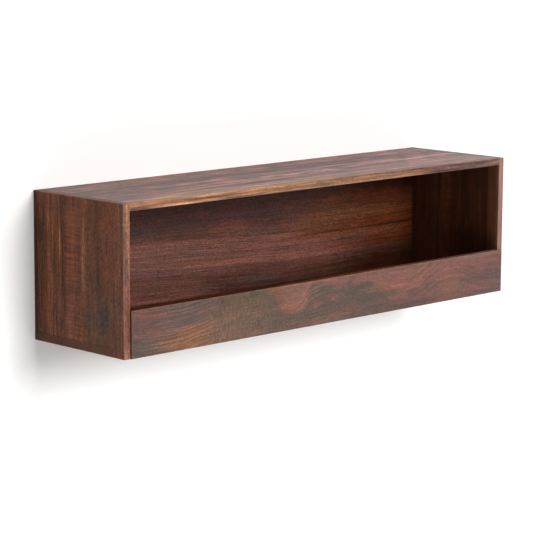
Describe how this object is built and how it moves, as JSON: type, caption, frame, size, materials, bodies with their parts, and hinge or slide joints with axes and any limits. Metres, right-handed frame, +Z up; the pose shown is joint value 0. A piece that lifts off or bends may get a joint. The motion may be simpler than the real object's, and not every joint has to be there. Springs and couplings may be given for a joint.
{
  "type": "wall shelf",
  "caption": "Open wall shelf of edge-glued dark hardwood: a long low box with a plain back, a fixed lip across the lower front and keyhole hangers let into the rear.",
  "frame": {"origin": "middle of the rear face, on the wall plane at half the shelf's height", "axes": "+X along the wall to the viewer's right, +Y into the wall (the open front faces -Y), +Z up"},
  "size_m": [0.9, 0.223, 0.243],
  "materials": {
    "side_wood": "oiled, satin, vertical grain in staves",
    "top_wood": "oiled, satin, lengthwise grain with a sapwood front edge",
    "bottom_wood": "oiled, satin, lengthwise grain",
    "back_wood": "oiled, satin, lengthwise grain",
    "lip_wood": "oiled, satin, lengthwise figured grain",
    "dowel_wood": "bare beech",
    "screw_steel": "zinc plated",
    "plate_steel": "zinc plated"
  },
  "bodies": {
    "root": {"left_side_rear_stave": "side_wood", "left_side_curly_stave": "side_wood", "left_side_middle_stave": "side_wood", "left_side_front_stave": "side_wood", "right_side_rear_stave": "side_wood", "right_side_curly_stave": "side_wood", "right_side_middle_stave": "side_wood", "right_side_front_stave": "side_wood", "top_rear_stave": "top_wood", "bottom_rear_stave": "bottom_wood", "top_middle_stave": "top_wood", "bottom_middle_stave": "bottom_wood", "top_front_stave": "top_wood", "bottom_front_stave": "bottom_wood", "back_lower_stave": "back_wood", "back_middle_stave": "back_wood", "back_upper_stave": "back_wood", "front_lip": "lip_wood", "top_dowels_left": "dowel_wood", "top_dowels_right": "dowel_wood", "back_dowels_left": "dowel_wood", "back_dowels_right": "dowel_wood", "lip_dowels": "dowel_wood", "lip_pins_left": "dowel_wood", "lip_pins_right": "dowel_wood", "bottom_screws_left": "screw_steel", "bottom_screws_right": "screw_steel", "hanger_screws_left": "screw_steel", "hanger_screws_right": "screw_steel", "hanger_plate_left": "plate_steel", "hanger_plate_right": "plate_steel"}
  },
  "joints": []
}
